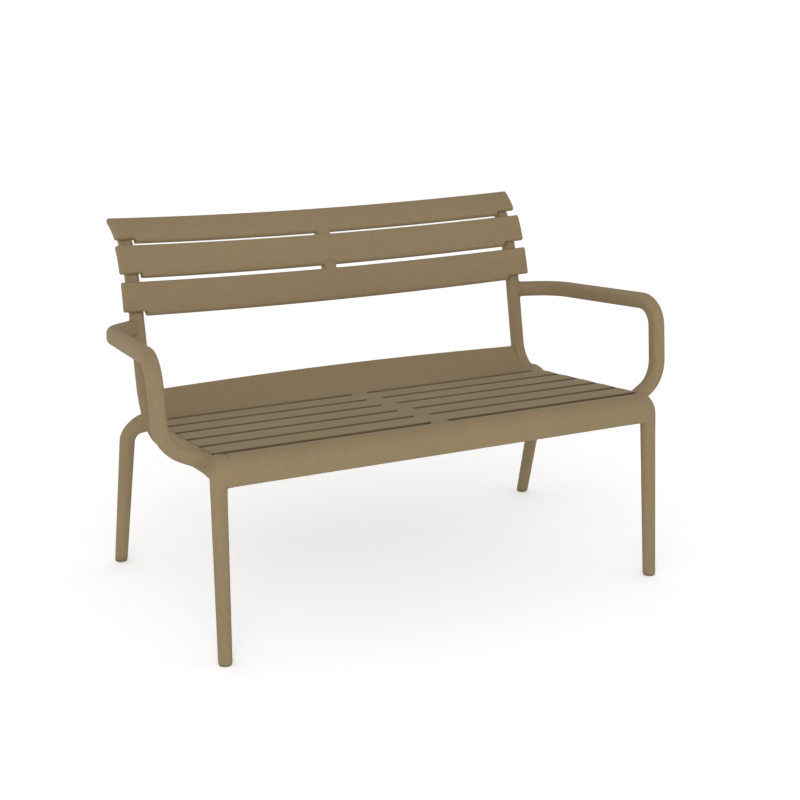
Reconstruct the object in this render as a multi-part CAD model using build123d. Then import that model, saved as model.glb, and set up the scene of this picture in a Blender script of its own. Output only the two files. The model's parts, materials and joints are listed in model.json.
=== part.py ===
from build123d import *
from math import asin, atan2, cos, degrees, hypot, radians, sin, tan
import os

# Driving dimensions, in millimetres and degrees.
# X runs across the bench, Y from front to back, Z up from the floor.

# Seat: a line that falls towards the back, carried by the side rails
SEAT_HEIGHT = 414.0
SEAT_PITCH = 5.8
NOSE_RADIUS = 28.0
SEAT_SLATS = 5
SEAT_SLAT_WIDTH = 62.0
SLAT_THICKNESS = 14.0
SEAT_GAP = 16.0
SLAT_PROUD = 1.0
SLAT_CROWN = 0.8
SLAT_EDGE = 2.0
SLAT_REACH = 9.0
SLAT_END_ROUND = 3.0

# Front apron: the board that turns down over the front of the seat
NOSE_Y = 2.0
APRON_TOP = 48.0
APRON_WALL = 12.0
APRON_DEPTH = 60.0

# Rear board: the last board of the seat, which curves up between the posts
BOARD_FLAT = 7.0
BOARD_WALL = 12.0
BOARD_TURN = 72.0
BOARD_BOW = 35.0

# Side rails: seat rail, bend and back post in one
RAIL_WIDTH = 32.0
RAIL_DEPTH = 50.0
RAIL_ROUND = 11.0
RAIL_TOE = 0.6
RAIL_SPACING = 954.0
BEND_RADIUS = 68.0
HEEL_EASE = 7.4
FRONT_CORNER_RADIUS = 5.0
BELLY_RADIUS = 200.0
POST_DEPTH = 25.0
POST_RISE = 226.0
POST_TOP_WIDTH = 27.0
LET_IN = 2.0

# Back: three slats on a curve that leans back more and more
BACK_LEAN = 11.2
BACK_SLAT_WIDTH = 66.0
BACK_GAP = 18.0
BACK_LOWER_RADIUS = 504.0
BACK_LOWER_RUN = 115.0
BACK_UPPER_RADIUS = 158.0
BACK_SLAT_LENGTHS = (1015.0, 1012.0, 1008.0)
BACK_EDGE = 5.0
BACK_END_ROUND = 3.0
BOW_RADIUS = 3700.0
BOW_TILT = 26.0
LIP_DROP = 10.0
LIP_RADIUS = 9.0
LIP_INSET = 0.2
LIP_GAP = 4.0

# Centre rib under the seat and centre stile behind the back
RIB_WIDTH = 36.0
RIB_DEPTH = 42.0
STILE_WIDTH = 27.0
STILE_DEPTH = 14.0
STILE_ROUND = 4.0
STILE_SET = 3.0
RIB_DROP = 0.4
RIB_TAIL = 24.0

# Legs: round, tapered, turned inwards at the top; places count outwards from the rail's middle,
# then back from the nose for a front leg and back from its peg for a rear leg; the front knee
# also counts up from the apron's lower edge
FRONT_FOOT_AT = (22.7, -6.5)
FRONT_KNEE_AT = (15.0, 17.1, 17.0)
FRONT_BEND = 32.5
FRONT_TURN = 52.0
REAR_FOOT_AT = (57.8, 97.7)
REAR_REACH = 9.2
REAR_BEND = 42.0
REAR_TURN = 90.0
LEG_FOOT_DIAMETER = 28.0
LEG_TOP_DIAMETER = 33.0
COLLAR_DIAMETER = 42.0
COLLAR_LENGTH = 12.0

# Armrests: a rounded bar from the post, out, forward, down and in to the rail; places count
# outwards from the rail's middle, then along and above the seat line
ARM_WIDTH = 30.0
ARM_HEIGHT = 35.0
ARM_ROUND = 12.0
ARM_START = (6.0, 1.8)
ARM_ELBOW_STEP = (73.5, -71.0, 9.0)
ARM_HAND_AT = (101.0, 103.2, 185.6)
ARM_DROP_AT = (98.0, 99.5, 15.1)
ARM_END_AT = (12.0, 75.7, -21.6)
ARM_RADII = (131.0, 53.0, 70.0)

# Foot glides
GLIDE_THICKNESS = 5.0
GLIDE_DIAMETER = 26.0
GLIDE_STEM_DIAMETER = 10.0
GLIDE_STEM = 18.0
GLIDE_EDGE = 1.5

# Pegs that locate legs and armrests in the rails: past the start of the bend and above the
# seat line, up the post and behind its front, along and above the seat line
PEG_DIAMETER = 14.0
PEG_ROOT = 6.0
PEG_PAST_MIDDLE = 4.0
FRONT_PEG_HEIGHT = 24.0
REAR_LEG_PEG_AT = (43.6, -12.3)
ARM_REAR_PEG_AT = (191.0, 12.8)
ARM_FRONT_PEG_AT = (78.8, -22.7)

# Screws and fits
SCREW_DIAMETER = 5.0
SCREW_HEAD_DIAMETER = 9.0
SCREW_HEAD = 3.2
SCREW_KEY = 3.0
SCREW_KEY_DEPTH = 1.8
SCREW_BITE = 9.0
SCREW_GRIP = 9.0
SKIN_BITE = 8.0
HEAD_SINK = 1.0
BOARD_SCREW_TURN = 16.0
FIT = 0.25

# Hidden supports under apron and board, and pockets under the seat slats
LEDGE_WIDTH = 26.0
LEDGE_DEPTH = 11.0
LEDGE_SHARE = 0.4
LUG_SETBACK = 4.0
POCKETS = 4
POCKET_WALL = 5.0
SLAT_UNDER_EDGE = 2.0

# Places worked out from the sizes above
SEAT_PITCH_STEP = SEAT_SLAT_WIDTH + SEAT_GAP
BOARD_START = APRON_TOP + SEAT_GAP + SEAT_SLATS * SEAT_PITCH_STEP
BEND_TURN = 90.0 - BACK_LEAN + SEAT_PITCH
BEND_RUN = BOARD_START + BOARD_FLAT
CORNER_RUN = BEND_RUN + BEND_RADIUS * tan(radians(BEND_TURN / 2))
HEEL_DROP = (RAIL_DEPTH - POST_DEPTH * cos(radians(BEND_TURN))) / sin(radians(BEND_TURN))
OUTER_BEND_RADIUS = BEND_RADIUS + HEEL_DROP / tan(radians(BEND_TURN / 2)) + HEEL_EASE
REBATE = SLAT_THICKNESS - SLAT_PROUD
BACK_STEP = BACK_SLAT_WIDTH + BACK_GAP
HALF_RAIL = RAIL_WIDTH / 2
POST_X = RAIL_SPACING / 2
BACK_SLATS = len(BACK_SLAT_LENGTHS)
POST_TIP = (BACK_SLATS - 1) * (BACK_SLAT_WIDTH + BACK_GAP) + BACK_SLAT_WIDTH * 5 / 8
LUG_FRONT = NOSE_RADIUS + LUG_SETBACK
APRON_SCREW_RUN = (LUG_FRONT + APRON_TOP) / 2
APRON_BOTTOM = SEAT_HEIGHT - APRON_DEPTH
SHARES = (-1, -0.5, 0, 0.5, 1)


def seat_point(run, above):
    """Side-view point on the seat line, run back from the nose, lifted square to it."""
    pitch = radians(SEAT_PITCH)
    y = NOSE_Y + run * cos(pitch) + above * sin(pitch)
    z = SEAT_HEIGHT - run * sin(pitch) + above * cos(pitch)
    return (y, z)


def post_point(rise, behind):
    """Side-view point up the straight of the post, behind its front face."""
    lean = radians(BACK_LEAN)
    y, z = seat_point(CORNER_RUN, 0)
    return (y + rise * sin(lean) + behind * cos(lean), z + rise * cos(lean) - behind * sin(lean))


def back_point(run, behind):
    """Side-view point up the slat fronts at a post, set back square to the curve."""
    lean = radians(BACK_LEAN)
    start = post_point(POST_RISE, LET_IN - SLAT_THICKNESS)
    centre = (start[0] + BACK_LOWER_RADIUS * cos(lean), start[1] - BACK_LOWER_RADIUS * sin(lean))
    radius = BACK_LOWER_RADIUS
    angle = lean + min(run, BACK_LOWER_RUN) / BACK_LOWER_RADIUS
    if run > BACK_LOWER_RUN:
        shift = BACK_UPPER_RADIUS - BACK_LOWER_RADIUS
        centre = (centre[0] + shift * cos(angle), centre[1] - shift * sin(angle))
        radius = BACK_UPPER_RADIUS
        angle = angle + (run - BACK_LOWER_RUN) / BACK_UPPER_RADIUS
    reach = radius - behind
    return (centre[0] - reach * cos(angle), centre[1] + reach * sin(angle))


def back_lean(run):
    """Lean from upright, in degrees, at a run up the slat fronts."""
    lower = min(run, BACK_LOWER_RUN) / BACK_LOWER_RADIUS
    upper = max(run - BACK_LOWER_RUN, 0) / BACK_UPPER_RADIUS
    return BACK_LEAN + degrees(lower + upper)


def meet(p, p_angle, q, q_angle):
    """Crossing of two side-view lines, each a point and a heading in degrees."""
    a = (cos(radians(p_angle)), sin(radians(p_angle)))
    b = (cos(radians(q_angle)), sin(radians(q_angle)))
    t = ((q[0] - p[0]) * b[1] - (q[1] - p[1]) * b[0]) / (a[0] * b[1] - a[1] * b[0])
    return (p[0] + t * a[0], p[1] + t * a[1])


def side(point, x=0.0):
    """Side-view point as a point in space."""
    return (x, point[0], point[1])


def rounded_path(points, radii):
    """Edges along points in space, with each inner corner rounded by its radius."""
    points = [Vector(point) for point in points]
    edges = []
    last = points[0]
    for before, corner, after, radius in zip(points, points[1:], points[2:], radii):
        a = (before - corner).normalized()
        b = (after - corner).normalized()
        half = radians(a.get_angle(b)) / 2
        first = corner + a * (radius / tan(half))
        crown = corner + (a + b).normalized() * (radius / sin(half) - radius)
        final = corner + b * (radius / tan(half))
        edges.append(Line(last, first))
        edges.append(ThreePointArc(first, crown, final))
        last = final
    edges.append(Line(last, points[-1]))
    return edges


def back_arc(start, end, behind):
    """Edges up or down the back curve between two runs, at one depth."""
    stops = [start, end]
    if min(stops) < BACK_LOWER_RUN < max(stops):
        stops.insert(1, BACK_LOWER_RUN)
    arcs = []
    for low, high in zip(stops, stops[1:]):
        middle = (low + high) / 2
        ends = [side(back_point(run, behind)) for run in (low, middle, high)]
        arcs.append(ThreePointArc(*ends))
    return arcs


def slat_run(index):
    """Run of the middle of a back slat, counted from the bottom."""
    return index * BACK_STEP + BACK_SLAT_WIDTH / 2


# Frames: the seat plane, the right-hand rail and the axis that the back bows about
SEAT = Plane(
    origin=(0, NOSE_Y, SEAT_HEIGHT),
    x_dir=(1, 0, 0),
    z_dir=(0, sin(radians(SEAT_PITCH)), cos(radians(SEAT_PITCH))),
)
CORNER = seat_point(CORNER_RUN, 0)
RIGHT = Pos(POST_X, CORNER[0], 0) * Rot(0, 0, RAIL_TOE) * Pos(0, -CORNER[0], 0)
BOW_OUT = Vector(0, cos(radians(BOW_TILT)), -sin(radians(BOW_TILT)))
BOW_UP = Vector(0, sin(radians(BOW_TILT)), cos(radians(BOW_TILT)))
POST_ANGLE = degrees(asin(POST_X / BOW_RADIUS))
POST_SAG = BOW_RADIUS * (1 - cos(radians(POST_ANGLE)))
BACK_BASE = Vector(*side(back_point(0, 0))) + BOW_OUT * POST_SAG
BOW_AXIS = Axis(BACK_BASE - BOW_OUT * BOW_RADIUS, BOW_UP)
TO_MIDDLE = Pos(BOW_OUT * POST_SAG)


def beside_seat(out, run, above):
    """Point in space beside the right rail, along and above the seat line."""
    return (POST_X + out, *seat_point(run, above))


# Pegs in side view; feet, knees and armrest corners on the right-hand side
REAR_LEG_PEG = seat_point(BEND_RUN + REAR_LEG_PEG_AT[0], REAR_LEG_PEG_AT[1])
ARM_REAR_PEG = post_point(*ARM_REAR_PEG_AT)
ARM_FRONT_PEG = seat_point(*ARM_FRONT_PEG_AT)
FRONT_FOOT = Vector(POST_X + FRONT_FOOT_AT[0], NOSE_Y + FRONT_FOOT_AT[1], 0)
FRONT_KNEE = Vector(POST_X, NOSE_Y, APRON_BOTTOM) + Vector(*FRONT_KNEE_AT)
REAR_FOOT = Vector(POST_X + REAR_FOOT_AT[0], REAR_LEG_PEG[0] + REAR_FOOT_AT[1], 0)
REAR_TOP = Vector(POST_X + REAR_REACH + REAR_BEND, *REAR_LEG_PEG)
REAR_KNEE = REAR_TOP - (REAR_TOP - REAR_FOOT).normalized() * REAR_BEND
ARM_POST = Vector(POST_X + ARM_START[0], ARM_REAR_PEG[0] + ARM_START[1], ARM_REAR_PEG[1])
ARM_CORNERS = [
    ARM_POST,
    ARM_POST + Vector(*ARM_ELBOW_STEP),
    Vector(*beside_seat(*ARM_HAND_AT)),
    Vector(*beside_seat(*ARM_DROP_AT)),
    Vector(*beside_seat(*ARM_END_AT)),
]


def other_side(piece):
    """The left-hand twin of a right-hand piece."""
    return mirror(piece, about=Plane.YZ)


def rail_outline(grow):
    """Closed side-view face of rail, bend and post, grown outwards by a clearance."""
    front = SLAT_THICKNESS - LET_IN - grow
    rear = front + POST_DEPTH + 2 * grow
    top_run = POST_TIP
    back_heading = 90 - BACK_LEAN
    seat_edge = seat_point(0, grow)
    belly_edge = seat_point(0, -RAIL_DEPTH - grow)
    nose_y = NOSE_Y - grow
    floor_z = APRON_BOTTOM - grow
    inner = meet(seat_edge, -SEAT_PITCH, post_point(0, -grow), back_heading)
    nose = meet(seat_edge, -SEAT_PITCH, (nose_y, 0), 90)
    toe = (nose_y, floor_z)
    belly = meet(belly_edge, -SEAT_PITCH, toe, 0)
    heel = meet(belly_edge, -SEAT_PITCH, post_point(0, POST_DEPTH + grow), back_heading)
    corners = [back_point(0, front), inner, nose, toe, belly, heel, back_point(0, rear)]
    radii = [
        BEND_RADIUS - grow,
        NOSE_RADIUS + grow,
        FRONT_CORNER_RADIUS + grow,
        BELLY_RADIUS,
        OUTER_BEND_RADIUS + grow,
    ]
    lower = rounded_path([side(corner) for corner in corners], radii)
    tip_front = Vector(*side(back_point(top_run, front)))
    tip_rear = Vector(*side(back_point(top_run, rear)))
    lean = radians(back_lean(top_run))
    tip = (tip_front + tip_rear) / 2 + Vector(0, sin(lean), cos(lean)) * (POST_DEPTH / 2 + grow)
    cap = ThreePointArc(tip_rear, tip, tip_front)
    return make_face(lower + back_arc(0, top_run, rear) + [cap] + back_arc(top_run, 0, front))


def rail_blank(grow):
    """Rounded rail and post without holes; its inner edge stays square below the board top."""
    outline = rail_outline(grow)
    half = HALF_RAIL + grow
    outer = extrude(outline, half, dir=(1, 0, 0))
    outer = fillet(outer.faces().sort_by(Axis.X)[-1].edges(), RAIL_ROUND)
    square = extrude(outline, half, dir=(-1, 0, 0))
    rounded = fillet(square.faces().sort_by(Axis.X)[0].edges(), RAIL_ROUND)
    board_top = bend_point(BOARD_TURN, 0)[1]
    below = Pos(0, CORNER[0], board_top / 2) * Box(4 * RAIL_WIDTH, 4 * CORNER[0], board_top)
    body = outer + (square & below) + (rounded - below)
    low = board_top
    high = back_point(slat_run(BACK_SLATS - 1), 0)[1]
    slope = (RAIL_WIDTH - POST_TOP_WIDTH) / 2 / (high - low)
    reach = high + BACK_SLAT_WIDTH
    cheek = Plane.XZ * Polygon(
        (half, low),
        (half + RAIL_WIDTH, low),
        (half + RAIL_WIDTH, reach),
        (half - slope * (reach - low), reach),
        align=None,
    )
    cheek = extrude(cheek, 2 * CORNER[0], both=True)
    return body - cheek - other_side(cheek)


def bend_point(turn, below):
    """Side-view point round the bend of the seat, turned from its start, set below it."""
    heading = radians(turn - SEAT_PITCH)
    centre = seat_point(BEND_RUN, BEND_RADIUS)
    reach = BEND_RADIUS + below
    return (centre[0] + reach * sin(heading), centre[1] - reach * cos(heading))


def board_arc(bow):
    """Centre, radius and turn of the rear board's curve where its top is bowed back."""
    start = seat_point(BEND_RUN, 0)
    top = bend_point(BOARD_TURN, 0)
    reach_y = top[0] + bow - start[0]
    reach_z = top[1] - start[1]
    half_turn = degrees(atan2(reach_z, reach_y)) + SEAT_PITCH
    radius = hypot(reach_y, reach_z) / (2 * sin(radians(half_turn)))
    return seat_point(BEND_RUN, radius), radius, 2 * half_turn


def board_band(bow, top, bottom, start, share):
    """Closed side-view face of a band that follows the board's curve, with round ends."""
    centre, radius, turn = board_arc(bow)
    turn = turn * share

    def on_arc(part, below):
        heading = radians(turn * part - SEAT_PITCH)
        reach = radius + below
        return side((centre[0] + reach * sin(heading), centre[1] - reach * cos(heading)))

    middle = (top + bottom) / 2
    half = (bottom - top) / 2
    end = radians(turn - SEAT_PITCH)
    tip = Vector(on_arc(1, middle)) + Vector(0, cos(end), sin(end)) * half
    front_top = side(seat_point(start, -top))
    front_bottom = side(seat_point(start, -bottom))
    front_tip = side(seat_point(start - half, -middle))
    return make_face([
        Line(front_top, on_arc(0, top)),
        ThreePointArc(on_arc(0, top), on_arc(0.5, top), on_arc(1, top)),
        ThreePointArc(on_arc(1, top), tip, on_arc(1, bottom)),
        ThreePointArc(on_arc(1, bottom), on_arc(0.5, bottom), on_arc(0, bottom)),
        Line(on_arc(0, bottom), front_bottom),
        ThreePointArc(front_bottom, front_tip, front_top),
    ])


def board_blank(grow):
    """Rear board before its ends are trimmed: flat at the front, bowed back along its top."""
    sections = []
    for share in SHARES:
        bow = BOARD_BOW * (1 - share ** 2)
        start = BOARD_START + BOARD_WALL / 2
        band = board_band(bow, -grow, BOARD_WALL + grow, start, 1)
        sections.append(Pos(share * POST_X, 0, 0) * band)
    return loft(sections)


def trim_ends(piece, rail_x):
    """Cut both ends of a cross piece to a plane of the rails, given across the rail."""
    beyond = RIGHT * Pos(rail_x + RAIL_SPACING / 2, CORNER[0] / 2, SEAT_HEIGHT)
    cutter = beyond * Box(RAIL_SPACING, 3 * CORNER[0], 3 * SEAT_HEIGHT)
    return piece - cutter - other_side(cutter)


# Screws: each stands on a plane whose Z runs from its head to its tip
def up_from(radius, height):
    """Cylinder that rises from the origin."""
    return Cylinder(radius, height, align=(Align.CENTER, Align.CENTER, Align.MIN))


def screw(grip, bite):
    """Round-headed screw with a hexagon key recess; its head seats at the plane."""
    head = Pos(0, 0, -SCREW_HEAD) * up_from(SCREW_HEAD_DIAMETER / 2, SCREW_HEAD)
    key = extrude(RegularPolygon(SCREW_KEY / 2, 6), SCREW_KEY_DEPTH)
    return head - Pos(0, 0, -SCREW_HEAD) * key + up_from(SCREW_DIAMETER / 2, grip + bite)


def screw_way(grip, bite, sink):
    """Room for a screw: head bore of a given depth, and a shank bore past the tip."""
    head = Pos(0, 0, -sink) * up_from(SCREW_HEAD_DIAMETER / 2 + FIT, sink)
    return head + up_from(SCREW_DIAMETER / 2 + FIT, grip + bite + FIT)


def seat_slat_run(index):
    """Run of the middle of a seat slat, counted from the front."""
    return APRON_TOP + SEAT_GAP + index * SEAT_PITCH_STEP + SEAT_SLAT_WIDTH / 2


def bend_frame(x, turn, below):
    """Frame on the bend, with Z pointing up through the board."""
    heading = radians(turn - SEAT_PITCH)
    return Plane(
        origin=side(bend_point(turn, below), x),
        x_dir=(1, 0, 0),
        z_dir=(0, -sin(heading), cos(heading)),
    ).location


def inner_frame(point):
    """Frame in a rail at a side-view point, Z pointing outwards, for a screw from inside."""
    return Pos(HEAD_X, point[0], point[1]) * Rot(0, 90, 0)


RAIL_SCREW_X = -HALF_RAIL / 2
LEDGE_X = -HALF_RAIL - LEDGE_WIDTH / 2
LEDGE_GRIP = LEDGE_DEPTH - SCREW_HEAD
HEAD_X = SCREW_HEAD + HEAD_SINK - HALF_RAIL
PEG_GRIP = -PEG_PAST_MIDDLE - HEAD_X
FRONT_PEG_X = PEG_DIAMETER / 2 - PEG_PAST_MIDDLE
SEAT_SCREWS = [
    SEAT * Pos(0, seat_slat_run(index), -REBATE - SCREW_GRIP) for index in range(SEAT_SLATS)
]
APRON_SCREW = SEAT * Pos(0, APRON_SCREW_RUN, -APRON_WALL - LEDGE_GRIP)
BOARD_SCREW = bend_frame(LEDGE_X, BOARD_SCREW_TURN, BOARD_WALL + FIT + LEDGE_GRIP)
BOARD_RIB_SCREW = SEAT * Pos(0, BEND_RUN + RIB_TAIL / 4, -BOARD_WALL - FIT - LEDGE_GRIP)
FRONT_LEG_SCREW = inner_frame((FRONT_KNEE.Y, APRON_BOTTOM + FRONT_PEG_HEIGHT / 2))
SIDE_PEGS = (REAR_LEG_PEG, ARM_REAR_PEG, ARM_FRONT_PEG)


def back_frame(index, behind):
    """Frame behind a back slat in the bench's middle plane, with Z pointing forward."""
    run = slat_run(index)
    lean = radians(back_lean(run))
    return TO_MIDDLE * Plane(
        origin=side(back_point(run, behind)),
        x_dir=(1, 0, 0),
        z_dir=(0, -cos(lean), sin(lean)),
    ).location


def back_slat(index, grow):
    """Curved slat: a band of the back's side view turned about the bow axis."""
    low = index * BACK_STEP - grow
    high = low + BACK_SLAT_WIDTH + 2 * grow
    front = -grow
    rear = SLAT_THICKNESS + grow
    head = Line(side(back_point(high, front)), side(back_point(high, rear)))
    foot = Line(side(back_point(low, rear)), side(back_point(low, front)))
    section = make_face(
        back_arc(low, high, front) + [head] + back_arc(high, low, rear) + [foot]
    )
    corners = [vertex for line in (head, foot) for vertex in line.vertices()]
    rims = [section.vertices().sort_by_distance(corner)[0] for corner in corners]
    section = TO_MIDDLE * fillet(rims, BACK_EDGE)
    reach = BOW_OUT.dot(section.center() - BOW_AXIS.position)
    half_angle = degrees(asin((BACK_SLAT_LENGTHS[index] / 2 + grow) / reach))
    return loft([section.rotate(BOW_AXIS, -share * half_angle) for share in SHARES])


def back_lip(index):
    """Rolled lower edge of a back slat between the posts, parted for the stile above the lowest."""
    low = index * BACK_STEP - LIP_DROP + LIP_RADIUS
    high = low + LIP_RADIUS
    depth = LIP_INSET + 2 * LIP_RADIUS
    front = [side(back_point(high, LIP_INSET)), side(back_point(low, LIP_INSET))]
    rear = [side(back_point(low, depth)), side(back_point(high, SLAT_THICKNESS - LIP_INSET))]
    roll = side(back_point(low - LIP_RADIUS, LIP_INSET + LIP_RADIUS))
    section = TO_MIDDLE * make_face([
        Line(*front),
        ThreePointArc(front[1], roll, rear[0]),
        Line(*rear),
        Line(rear[1], front[0]),
    ])
    reach = BOW_OUT.dot(section.center() - BOW_AXIS.position)
    outer = degrees(asin((POST_X - HALF_RAIL - LIP_GAP) / reach))
    if index == 0:
        return [loft([section.rotate(BOW_AXIS, -share * outer) for share in SHARES])]
    inner = degrees(asin((STILE_WIDTH / 2 + FIT) / reach))
    middle = (inner + outer) / 2
    half = (outer - inner) / 2
    right = loft([section.rotate(BOW_AXIS, -middle - share * half) for share in SHARES])
    return [right, other_side(right)]


def back_screws(index, piece):
    """A screw or its way behind one back slat: on the stile and on both posts."""
    middle = back_frame(index, SLAT_THICKNESS + SCREW_GRIP) * piece
    right = middle.rotate(BOW_AXIS, -POST_ANGLE)
    return [middle, right, other_side(right)]


def finished_back_slat(index):
    """Back slat with eased ends, a rolled lower edge and pilot holes for its screws."""
    slat = back_slat(index, 0)
    ends = slat.faces().sort_by(Axis.X)
    slat = fillet(ends[0].edges() + ends[-1].edges(), BACK_END_ROUND)
    slat = slat + back_lip(index)
    return slat - back_screws(index, screw_way(SCREW_GRIP, SCREW_BITE, SCREW_HEAD))


def apron_screws(piece):
    """A screw or its way under the apron: on the rib and on both lugs."""
    right = RIGHT * Pos(LEDGE_X, 0, 0) * APRON_SCREW * piece
    return [APRON_SCREW * piece, right, other_side(right)]


def front_apron():
    """Apron: top, rounded nose and front in one bent wall, closed with round edges."""
    half = APRON_WALL / 2
    inner_corner = meet(seat_point(0, -APRON_WALL), -SEAT_PITCH, (NOSE_Y + APRON_WALL, 0), 90)
    top_outer = side(seat_point(APRON_TOP - half, 0))
    top_inner = side(seat_point(APRON_TOP - half, -APRON_WALL))
    foot_outer = (0, NOSE_Y, APRON_BOTTOM + half)
    foot_inner = (0, NOSE_Y + APRON_WALL, APRON_BOTTOM + half)
    outer = rounded_path([top_outer, (0, NOSE_Y, SEAT_HEIGHT), foot_outer], [NOSE_RADIUS])
    inner = rounded_path([foot_inner, side(inner_corner), top_inner], [NOSE_RADIUS - APRON_WALL])
    foot = ThreePointArc(foot_outer, (0, NOSE_Y + half, APRON_BOTTOM), foot_inner)
    rim = ThreePointArc(top_inner, side(seat_point(APRON_TOP, -half)), top_outer)
    body = extrude(make_face(outer + [foot] + inner + [rim]), POST_X, dir=(1, 0, 0), both=True)
    body = trim_ends(body, -HALF_RAIL - FIT)
    return body - apron_screws(screw_way(LEDGE_GRIP, SKIN_BITE, SCREW_HEAD))


def seat_screws(index, piece):
    """A screw or its way under one seat slat: on the rib and on both rails."""
    middle = SEAT_SCREWS[index] * piece
    right = RIGHT * Pos(RAIL_SCREW_X, 0, 0) * middle
    return [middle, right, other_side(right)]


def seat_slat(index):
    """Seat slat: crowned top, eased edges, hollow pockets under it between its supports."""
    run = seat_slat_run(index)
    half = SEAT_SLAT_WIDTH / 2
    shoulder = SLAT_PROUD - SLAT_CROWN
    left = (0, -half, shoulder)
    right = (0, half, shoulder)
    section = make_face([
        ThreePointArc(left, (0, 0, SLAT_PROUD), right),
        Line(right, (0, half, -REBATE)),
        Line((0, half, -REBATE), (0, -half, -REBATE)),
        Line((0, -half, -REBATE), left),
    ])
    body = extrude(section, POST_X + RAIL_WIDTH, dir=(1, 0, 0), both=True)
    edges = body.edges().filter_by(Axis.X).sort_by(Axis.Z)
    body = fillet(edges[2:], SLAT_EDGE)
    body = fillet(body.edges().filter_by(Axis.X).sort_by(Axis.Z)[:2], SLAT_UNDER_EDGE)
    inner = RIB_WIDTH / 2 + POCKET_WALL
    outer = POST_X - HALF_RAIL - POCKET_WALL
    step = (outer - inner + POCKET_WALL) / POCKETS
    pocket = Box(
        step - POCKET_WALL,
        SEAT_SLAT_WIDTH - 2 * POCKET_WALL,
        SLAT_THICKNESS - POCKET_WALL,
        align=(Align.MIN, Align.CENTER, Align.MIN),
    )
    for place in range(POCKETS):
        cut = Pos(inner + place * step, 0, -REBATE) * pocket
        body = body - cut - other_side(cut)
    body = trim_ends(SEAT * Pos(0, run, 0) * body, SLAT_REACH - FIT)
    ends = body.faces().sort_by(Axis.X)
    tops = [end.edges().sort_by(Axis.Z)[-1] for end in (ends[0], ends[-1])]
    body = fillet(tops, SLAT_END_ROUND)
    return body - seat_screws(index, screw_way(SCREW_GRIP, SCREW_BITE, SCREW_HEAD))


def board_screws(piece):
    """A screw or its way under the rear board: on the rib and on both ledges."""
    right = RIGHT * BOARD_SCREW * piece
    return [BOARD_RIB_SCREW * piece, right, other_side(right)]


def rear_board():
    """Rear board cut to fit between the posts, with pilot holes for its screws."""
    body = trim_ends(board_blank(0), -HALF_RAIL - FIT)
    return body - board_screws(screw_way(LEDGE_GRIP, SKIN_BITE, SCREW_HEAD))


def centre_rib():
    """Rib under the middle of the seat: notched for each slat, it shows in the gaps."""
    length = BEND_RUN + RIB_TAIL - LUG_FRONT
    body = Box(RIB_WIDTH, length, RIB_DEPTH - RIB_DROP, align=(Align.CENTER, Align.MIN, Align.MAX))
    body = Pos(0, LUG_FRONT, -RIB_DROP) * body
    body = body - Box(2 * RIB_WIDTH, 2 * APRON_TOP + 2 * FIT, 2 * APRON_WALL)
    notch = Box(2 * RIB_WIDTH, SEAT_SLAT_WIDTH + 2 * FIT, 2 * REBATE)
    body = SEAT * (body - [Pos(0, seat_slat_run(index), 0) * notch for index in range(SEAT_SLATS)])
    way = screw_way(SCREW_GRIP, SCREW_BITE, RIB_DEPTH)
    skin_way = screw_way(LEDGE_GRIP, SKIN_BITE, RIB_DEPTH)
    ways = [frame * way for frame in SEAT_SCREWS]
    return body - board_blank(FIT) - ways - APRON_SCREW * skin_way - BOARD_RIB_SCREW * skin_way


def centre_stile():
    """Stile behind the middle of the back slats, with a boss forward in each gap."""
    low = BACK_SLAT_WIDTH / 4
    front = SLAT_THICKNESS + FIT
    rear = front + STILE_DEPTH
    head = Line(side(back_point(POST_TIP, front)), side(back_point(POST_TIP, rear)))
    foot = Line(side(back_point(low, rear)), side(back_point(low, front)))
    section = make_face(
        back_arc(low, POST_TIP, front) + [head] + back_arc(POST_TIP, low, rear) + [foot]
    )
    body = extrude(section, STILE_WIDTH / 2, dir=(1, 0, 0), both=True)
    ends = [body.edges().filter_by(Axis.X).sort_by_distance(line.center())[:2] for line in (head, foot)]
    body = fillet(ends[0] + ends[1], STILE_ROUND)
    for index in range(BACK_SLATS - 1):
        bottom = index * BACK_STEP + BACK_SLAT_WIDTH + FIT
        top = (index + 1) * BACK_STEP - FIT
        inside = rear - STILE_SET
        corners = [(bottom, STILE_SET), (top, STILE_SET), (top, inside), (bottom, inside)]
        boss = make_face(Polyline(*[side(back_point(*corner)) for corner in corners], close=True))
        body = body + extrude(boss, STILE_WIDTH / 2, dir=(1, 0, 0), both=True)
    body = TO_MIDDLE * body
    way = screw_way(SCREW_GRIP, SCREW_BITE, STILE_DEPTH)
    return body - [back_screws(index, way)[0] for index in range(BACK_SLATS)]


def side_peg(point, grow):
    """Peg across a rail at a side-view point, from past its middle to beyond its outer face."""
    start = -PEG_PAST_MIDDLE - grow
    length = HALF_RAIL + PEG_ROOT - start
    return Pos(start, point[0], point[1]) * Rot(0, 90, 0) * up_from(PEG_DIAMETER / 2 + grow, length)


def front_peg(grow):
    """Upright peg of the front leg, up into the front end of a rail."""
    middle = Pos(FRONT_PEG_X, FRONT_KNEE.Y, APRON_BOTTOM)
    return middle * Cylinder(PEG_DIAMETER / 2 + grow, 2 * FRONT_PEG_HEIGHT + 2 * grow)


def rail_slice(inner, outer):
    """Upright slice of the right rail's room between two planes across it."""
    width = outer - inner
    return RIGHT * Pos((inner + outer) / 2, 0, 0) * Box(width, 4 * CORNER[0], 4 * SEAT_HEIGHT)


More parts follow.
